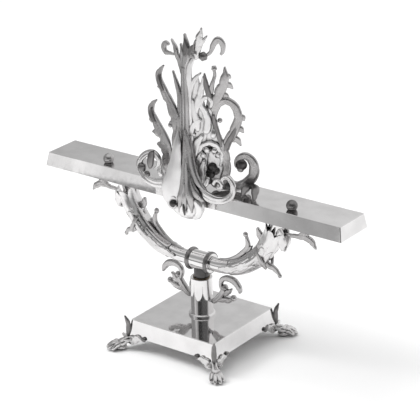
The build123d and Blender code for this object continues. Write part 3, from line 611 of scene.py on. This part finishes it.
curl_top = Form()
RIGHT.leaf(curl_top, [(23, 347), (29, 352), (32, 360), (37, 366), (42, 361), (42, 353), (39, 349)],
           (3, 4, 6, 7, 6.5, 5, 3), 4.5)
curl_top.piece("crest_curl_top_right_cast", "head", "crest_curl_top_right", look=MID_SHADE)

# The prong leaf is dark silver: painted shade.
prong = Form()
for route, root_width in (([(58, 8, 202), (65, -1, 206), (70, -12, 206), (71, -22, 200)], 8),
                          ([(66, 4, 204), (76, -4, 207), (84, -14, 206), (88, -23, 199)], 7)):
    frond(prong, route, (0.5, -0.4, 0.8), (root_width, 10, 9, 3), 5, teeth=2)
prong.piece("crest_prong_leaf_cast", "head", "crest_prong_leaf", look=DEEP_SHADE)

# --- arms --------------------------------------------------------------------------------------------
# The arms' joint leaves, tendrils, outer leaves and the column scrolls take the mid-grey silver: painted
# shade.
ARM_LINE = [(15.5, 101), (22, 101), (40, 103.2), (58, 110), (78, 124.5), (92, 143), (101, 161), (109, 181)]
ACROSS = (0, 1, 0)


def arm_calyx(side, plane, path):
    """The leafy casing of an arm's lower half."""
    calyx = Form()
    wrap(calyx, path, ACROSS, 8.1, 9.4, 5, span=(0.2, 0.44), point=0.07, flare=0.18)
    wrap(calyx, path, ACROSS, 8.2, 9.9, 6, span=(0.36, 0.64), point=0.08, flare=0.22)
    for route in ([(30, 102), (42, 104), (58, 109)], [(48, 106), (62, 112), (76, 122)],
                  [(68, 116), (80, 126), (89, 139)], [(84, 131), (93, 145), (98, 157)]):
        for y in (-9.6, 9.6):
            frond(calyx, [plane.at(u, z, -y) for u, z in route], (0, y, 0), (5, 10, 3), 2.6, teeth=4,
                  bite=0.35, groove=0.6)
    calyx.piece(f"arm_calyx_{side}_cast", "head", f"arm_calyx_{side}")


def arm_sheath(side, plane, path):
    """The sheath under the ledge, brightened with painted light, with two long lobes on its outer side."""
    sheath = Form()
    wrap(sheath, path, ACROSS, 8.1, 10.2, 6, span=(0.60, 0.84), point=0.06, flare=0.35)
    for w in (-4, 4):
        plane.leaf(sheath, [(104, 171, w), (109, 162, w * 1.4), (112, 151, w * 1.2), (112, 141, w)],
                   (5, 11, 11, 3), 4, teeth=3, bite=0.2)
    sheath.piece(f"arm_sheath_{side}_cast", "head", f"arm_sheath_{side}", look=SATIN_LIT)


def arm_joint_leaves(side, plane):
    """The small leaves where an arm's casing meets its sheath."""
    joint = Form()
    for w in (-10.4, 10.4):
        plane.leaf(joint, [(80, 141, w / 2), (84, 134, w), (89, 124, w), (92, 115, w / 2)], (3, 5, 5, 3), 3,
                   teeth=2)
    plane.leaf(joint, [(86, 121), (95, 117), (102, 114), (107, 108)], (8, 8, 6, 2), 4, teeth=2)
    bead(joint, plane.at(106, 109), 2.6, plane.front)
    plane.leaf(joint, [(77, 129), (79, 136), (80, 141), (84, 145)], (8, 7, 5, 2), 4, teeth=2)
    plane.leaf(joint, [(96, 149), (87, 147), (80, 151), (77, 160)], (5, 8, 9, 3), 4, teeth=2)
    bead(joint, plane.at(112, 142), 2.6, plane.front)
    joint.piece(f"arm_joint_leaves_{side}", "head", look=MID_SHADE)


def arm_tendril(side, plane):
    """The beaded tendril that rises inside the curve of an arm."""
    tendril = Form()
    plane.leaf(tendril, [(24, 108.5), (34, 110.5), (46, 116), (57, 124.5), (64, 134), (62, 146)],
               (2.5, 3, 4.5, 6, 6, 3), 4.5)
    plane.leaf(tendril, [(60, 127), (65, 130), (70, 136)], (5, 5, 1.5), 4)
    bead(tendril, plane.at(61, 147), 3.2, plane.front)
    tendril.piece(f"arm_tendril_{side}_cast", "head", f"arm_tendril_{side}", look=MID_SHADE)


def arm_outer_leaf(side, plane):
    """The leaf that curls out from an arm under the ledge."""
    outer = Form()
    plane.leaf(outer, [(106, 158), (116, 160), (128, 161), (138, 162.5), (147, 159), (153, 151.5)],
               (5, 4, 5, 8, 8, 2), 4, teeth=5, bite=0.2)
    plane.leaf(outer, [(130, 162), (137, 166), (144, 166)], (4, 6, 2), 4)
    outer.piece(f"arm_outer_leaf_{side}_cast", "head", f"arm_outer_leaf_{side}", look=MID_SHADE)


def column_scroll(side, plane):
    """The branching, beaded scroll on one side of the column."""
    scroll = Form()
    plane.leaf(scroll, [(13.5, 54.5), (19, 57), (24, 62), (29, 69), (32, 76)], (6, 7, 8, 7, 3), (6, 7, 7, 6),
               groove=0.3)
    plane.leaf(scroll, [(21, 59), (30, 60.5), (38, 62), (44, 66)], (5, 7, 7, 3), 6, teeth=2)
    plane.leaf(scroll, [(30, 66), (36, 71), (42, 77)], (5, 7, 2), 5, teeth=2)
    bead(scroll, plane.at(32, 76), 4.2, plane.front, 1.0, petals=5)
    bead(scroll, plane.at(44, 66), 3.6, plane.front, 1.0)
    plane.leaf(scroll, [(30, 70), (27, 79), (30, 86), (38, 88.3), (46, 86.5), (52, 80), (53.5, 74)],
               (3, 4, 6, 7, 8, 7, 2), 6)
    scroll.piece(f"column_scroll_{side}_cast", "base", f"column_scroll_{side}", look=MID_SHADE)


for side, sign in (("left", -1), ("right", 1)):
    plane = Sheet(0.0, 0.0, sign)
    path = [plane.at(*point) for point in ARM_LINE]
    arm_calyx(side, plane, path)
    arm_sheath(side, plane, path)
    arm_joint_leaves(side, plane)
    arm_tendril(side, plane)
    arm_outer_leaf(side, plane)
    column_scroll(side, plane)


# --- claw feet ---------------------------------------------------------------------------------------
UP = np.array((0, 0, 1.0))
CORNER_REACH = 84.6
TOE_LINE = ((6, 6.0), (12, 7.2), (17, 4.6), (20.5, 1.6))


def paw(foot, corner, angle):
    """The ankle along a foot's diagonal, its four toes and the pad under them."""
    ankle = ((72, 12.5), (80, 13), (87, 10.5), (93, 7.5), (99, 6))
    frond(foot, [corner.at(*point) for point in ankle], UP, (17, 12, 9, 12, 10), (7, 8, 8, 9, 7),
          groove=0.05, blunt=0.5, square=0.8)
    root = corner.at(88, 0)
    for spread, stride in ((-24, 0.88), (-8, 1.06), (8, 1.06), (24, 0.88)):
        way = math.radians(angle + spread)
        step = np.array((math.cos(way), math.sin(way), 0)) * stride
        toe = [root + step * along + UP * height for along, height in TOE_LINE]
        frond(foot, toe, UP, (5.5, 6.0, 5.2, 2.5), (6, 7, 5, 2.6), groove=0.0, around=14, square=0.8)
    bead(foot, corner.at(93, 3.0), 7.0, UP, 0.42)


def face_leaf(foot, spike, corner, way):
    """A leaf from the foot along one face of the base, its bead darkened with painted shade, and the tuft
    beside the ankle.
    """
    aside = -corner.front
    run = unit(-corner.out + way * aside)
    face = unit(corner.out + way * aside)
    base = corner.at(CORNER_REACH, 0) + face * 1.2
    frond(foot, [base + run * along + UP * height for along, height in ((0, 8), (7, 12), (15, 16), (22, 15))],
          face, (7, 12, 9, 2), 3.4, teeth=3, bite=0.4)
    bead(spike, base + run * 23 + UP * 17, 3.0, face, 0.7)
    frond(foot, [corner.at(80, 14, -way * 3), corner.at(86, 13, -way * 6), corner.at(91, 15, -way * 8)],
          UP, (6, 6, 2), 3.5)


for name, angle in (("front_left", 225), ("front_right", 315), ("rear_right", 45), ("rear_left", 135)):
    corner = Sheet(0.0, angle)
    foot = Form()
    paw(foot, corner, angle)
    # The spike and the beads beside it are dark silver: painted shade.
    spike = Form()
    frond(spike, [corner.at(84.5, 15), corner.at(84, 24), corner.at(84.5, 32), corner.at(88, 41)],
          corner.out, (4, 6, 5, 1.5), (5, 6, 5, 2), groove=0)
    for way in (-1, 1):
        face_leaf(foot, spike, corner, way)
    foot.piece(f"foot_{name}_cast", "base", f"foot_{name}")
    spike.piece(f"foot_{name}_spike", "base", look=DEEP_SHADE)

# --- plain metal on the CAD nodes ------------------------------------------------------------------
slots = {part["node"]: part["material_slot"] for part in frame["record"]["subparts"]}
# The neck is near-black silver, painted shadow; the collar rings and the knobs take the dark and mid-grey
# copies, painted shade.
SHADED_NODES = {"neck": PAINTED_SHADOW, "collar_rings": DEEP_SHADE, "ledge_knob_left": MID_SHADE, "ledge_knob_right": DEEP_SHADE}
for node, obj in frame["nodes"].items():
    obj.data.materials.clear()
    obj.data.materials.append(SHADED_NODES.get(node, FINISHES[slots[node]]))

# --- floor, light and camera --------------------------------------------------------------------------
FLOOR_HALF = 3.2
floor_mesh = bpy.data.meshes.new("floor")
floor_mesh.from_pydata([(x * FLOOR_HALF, y * FLOOR_HALF, 0) for x, y in ((-1, -1), (1, -1), (1, 1), (-1, 1))],
                       [], [(0, 1, 2, 3)])
floor = bpy.data.objects.new("floor", floor_mesh)
bpy.context.scene.collection.objects.link(floor)
pale, _, pale_shader = node_tree("pale_floor")
pale_shader.inputs["Base Color"].default_value = (0.96, 0.96, 0.96, 1)
pale_shader.inputs["Roughness"].default_value = 0.6
floor_mesh.materials.append(pale)


def hang(name, lamp, along, place=(0, 0, 0)):
    """A lamp in the scene that shines along a direction and isn't mirrored by the metal."""
    holder = bpy.data.objects.new(name, lamp)
    holder.location = place
    holder.rotation_mode = "QUATERNION"
    holder.rotation_quaternion = along.to_track_quat("-Z", "Y")
    holder.visible_glossy = False
    bpy.context.scene.collection.objects.link(holder)


SUN_FROM = Vector((-0.50, -0.20, 0.84))
sun = bpy.data.lights.new("sun", "SUN")
sun.energy = 1.62
sun.angle = math.radians(50)
hang("sun", sun, -SUN_FROM)

# Toned cards beside the front, seen only in reflections. card_front grades the ledge's front face from light
# to dark, and the other two darken what the metal mirrors on its left. Each is an upright strip between two
# heights, with (x, y, tone) posts along it.
felt, felt_tree, felt_shader = node_tree("card")
felt_shader.inputs["Base Color"].default_value = (0, 0, 0, 1)
felt_shader.inputs["Specular IOR Level"].default_value = 0.0
felt_shader.inputs["Emission Strength"].default_value = 1.0
tone_layer = felt_tree.nodes.new("ShaderNodeVertexColor")
tone_layer.layer_name = "tone"
felt_tree.links.new(tone_layer.outputs["Color"], felt_shader.inputs["Emission Color"])
CARDS = {"card_left": ((0.0, 0.36), ((-0.62, 0.08, 0.36), (-0.44, -0.31, 0.34))),
         "card_low": ((0.035, 0.14), ((-0.44, -0.31, 0.32), (-0.18, -0.50, 0.30))),
         "card_front": ((0.06, 0.32), ((-0.49, -0.45, 1.1), (-0.43, -0.45, 0.90), (-0.30, -0.45, 0.80),
                                        (-0.225, -0.45, 0.66), (-0.175, -0.45, 0.56), (-0.115, -0.45, 0.44),
                                        (-0.04, -0.45, 0.42)))}
for name, (span, posts) in CARDS.items():
    mesh = bpy.data.meshes.new(name)
    spots = [(x, y, z) for z in span for x, y, tone in posts]
    wide = len(posts)
    mesh.from_pydata(spots, [], [(k, k + 1, k + 1 + wide, k + wide) for k in range(wide - 1)])
    layer = mesh.color_attributes.new("tone", "FLOAT_COLOR", "POINT")
    for entry, (x, y, tone) in zip(layer.data, posts + posts):
        entry.color = (tone, tone, tone, 1)
    mesh.materials.append(felt)
    card = bpy.data.objects.new(name, mesh)
    bpy.context.scene.collection.objects.link(card)
    card.visible_camera = False
    card.visible_diffuse = False
    card.visible_shadow = False

KEY_PLACE, KEY_TARGET = Vector((-0.9, -0.5, 1.1)), Vector((0, 0, 0.25))
key = bpy.data.lights.new("key", "AREA")
key.size = 0.35
key.energy = 5
hang("key", key, KEY_TARGET - KEY_PLACE, KEY_PLACE)

# The room that the metal mirrors: pale below, bright overhead, grey at its left and paler at its right, and
# dark on the camera's side. The camera itself sees white.
azimuth, elevation, roll = math.radians(36.53), math.radians(22.51), math.radians(-0.95)
world = bpy.data.worlds.new("studio")
world.use_nodes = True
bpy.context.scene.world = world
sky = world.node_tree
background = sky.nodes["Background"]
direction = sky.nodes.new("ShaderNodeTexCoord").outputs["Generated"]


def towards(way):
    """How far a direction of the sky points along a given one."""
    product = sky.nodes.new("ShaderNodeVectorMath")
    product.operation = "DOT_PRODUCT"
    product.inputs[1].default_value = way
    sky.links.new(direction, product.inputs[0])
    return product.outputs["Value"]


def eased(value, start, end, at_start, at_end):
    """A smooth step between two values."""
    step = sky.nodes.new("ShaderNodeMapRange")
    step.interpolation_type = "SMOOTHSTEP"
    for socket, number in zip(("From Min", "From Max", "To Min", "To Max"), (start, end, at_start, at_end)):
        step.inputs[socket].default_value = number
    sky.links.new(value, step.inputs["Value"])
    return step.outputs["Result"]


def combined(operation, a, b):
    """Two tones joined by arithmetic; either may be a number."""
    node = sky.nodes.new("ShaderNodeMath")
    node.operation = operation
    for socket, value in zip(node.inputs, (a, b)):
        if isinstance(value, (int, float)):
            socket.default_value = value
        else:
            sky.links.new(value, socket)
    return node.outputs["Value"]


height = towards((0, 0, 1))
aside = towards((math.cos(azimuth), math.sin(azimuth), 0))
facing_camera = towards((math.sin(azimuth), -math.cos(azimuth), 0))
walls = eased(aside, -0.22, 0.20, 0.40, 0.85)
front_dark = eased(facing_camera, 0.22, 0.60, 1.0, 0.16)
room = combined("MULTIPLY", walls, front_dark)
ceiling = eased(height, 0.55, 0.85, 0.0, 0.9)
ground = eased(height, -0.01, -0.10, 0.0, 0.75)
tone = combined("MAXIMUM", combined("MAXIMUM", room, ceiling), ground)
seen = sky.nodes.new("ShaderNodeLightPath")
tone = combined("MAXIMUM", tone, seen.outputs["Is Camera Ray"])
sky.links.new(tone, background.inputs["Color"])
background.inputs["Strength"].default_value = 1.0
bpy.context.scene.view_settings.view_transform = "Standard"

# The camera stands at the front right, above the ledge, and looks at a point beside the column.
distance, aim_aside, aim_height = 2.1121, 0.01069, 0.1615
SENSOR_MM, LENS_MM = 36, 164.16
back = Vector((math.sin(azimuth) * math.cos(elevation), -math.cos(azimuth) * math.cos(elevation),
               math.sin(elevation)))
target = Vector((math.cos(azimuth), math.sin(azimuth), 0)) * aim_aside + Vector((0, 0, aim_height))
camera_data = bpy.data.cameras.new("camera")
camera_data.sensor_width = SENSOR_MM
camera_data.lens = LENS_MM
camera_data.clip_start = 0.05
camera = bpy.data.objects.new("camera", camera_data)
camera.location = target + back * distance
camera.rotation_mode = "QUATERNION"
camera.rotation_quaternion = (-back).to_track_quat("-Z", "Y") @ Quaternion((0, 0, 1), roll)
bpy.context.scene.collection.objects.link(camera)
bpy.context.scene.camera = camera
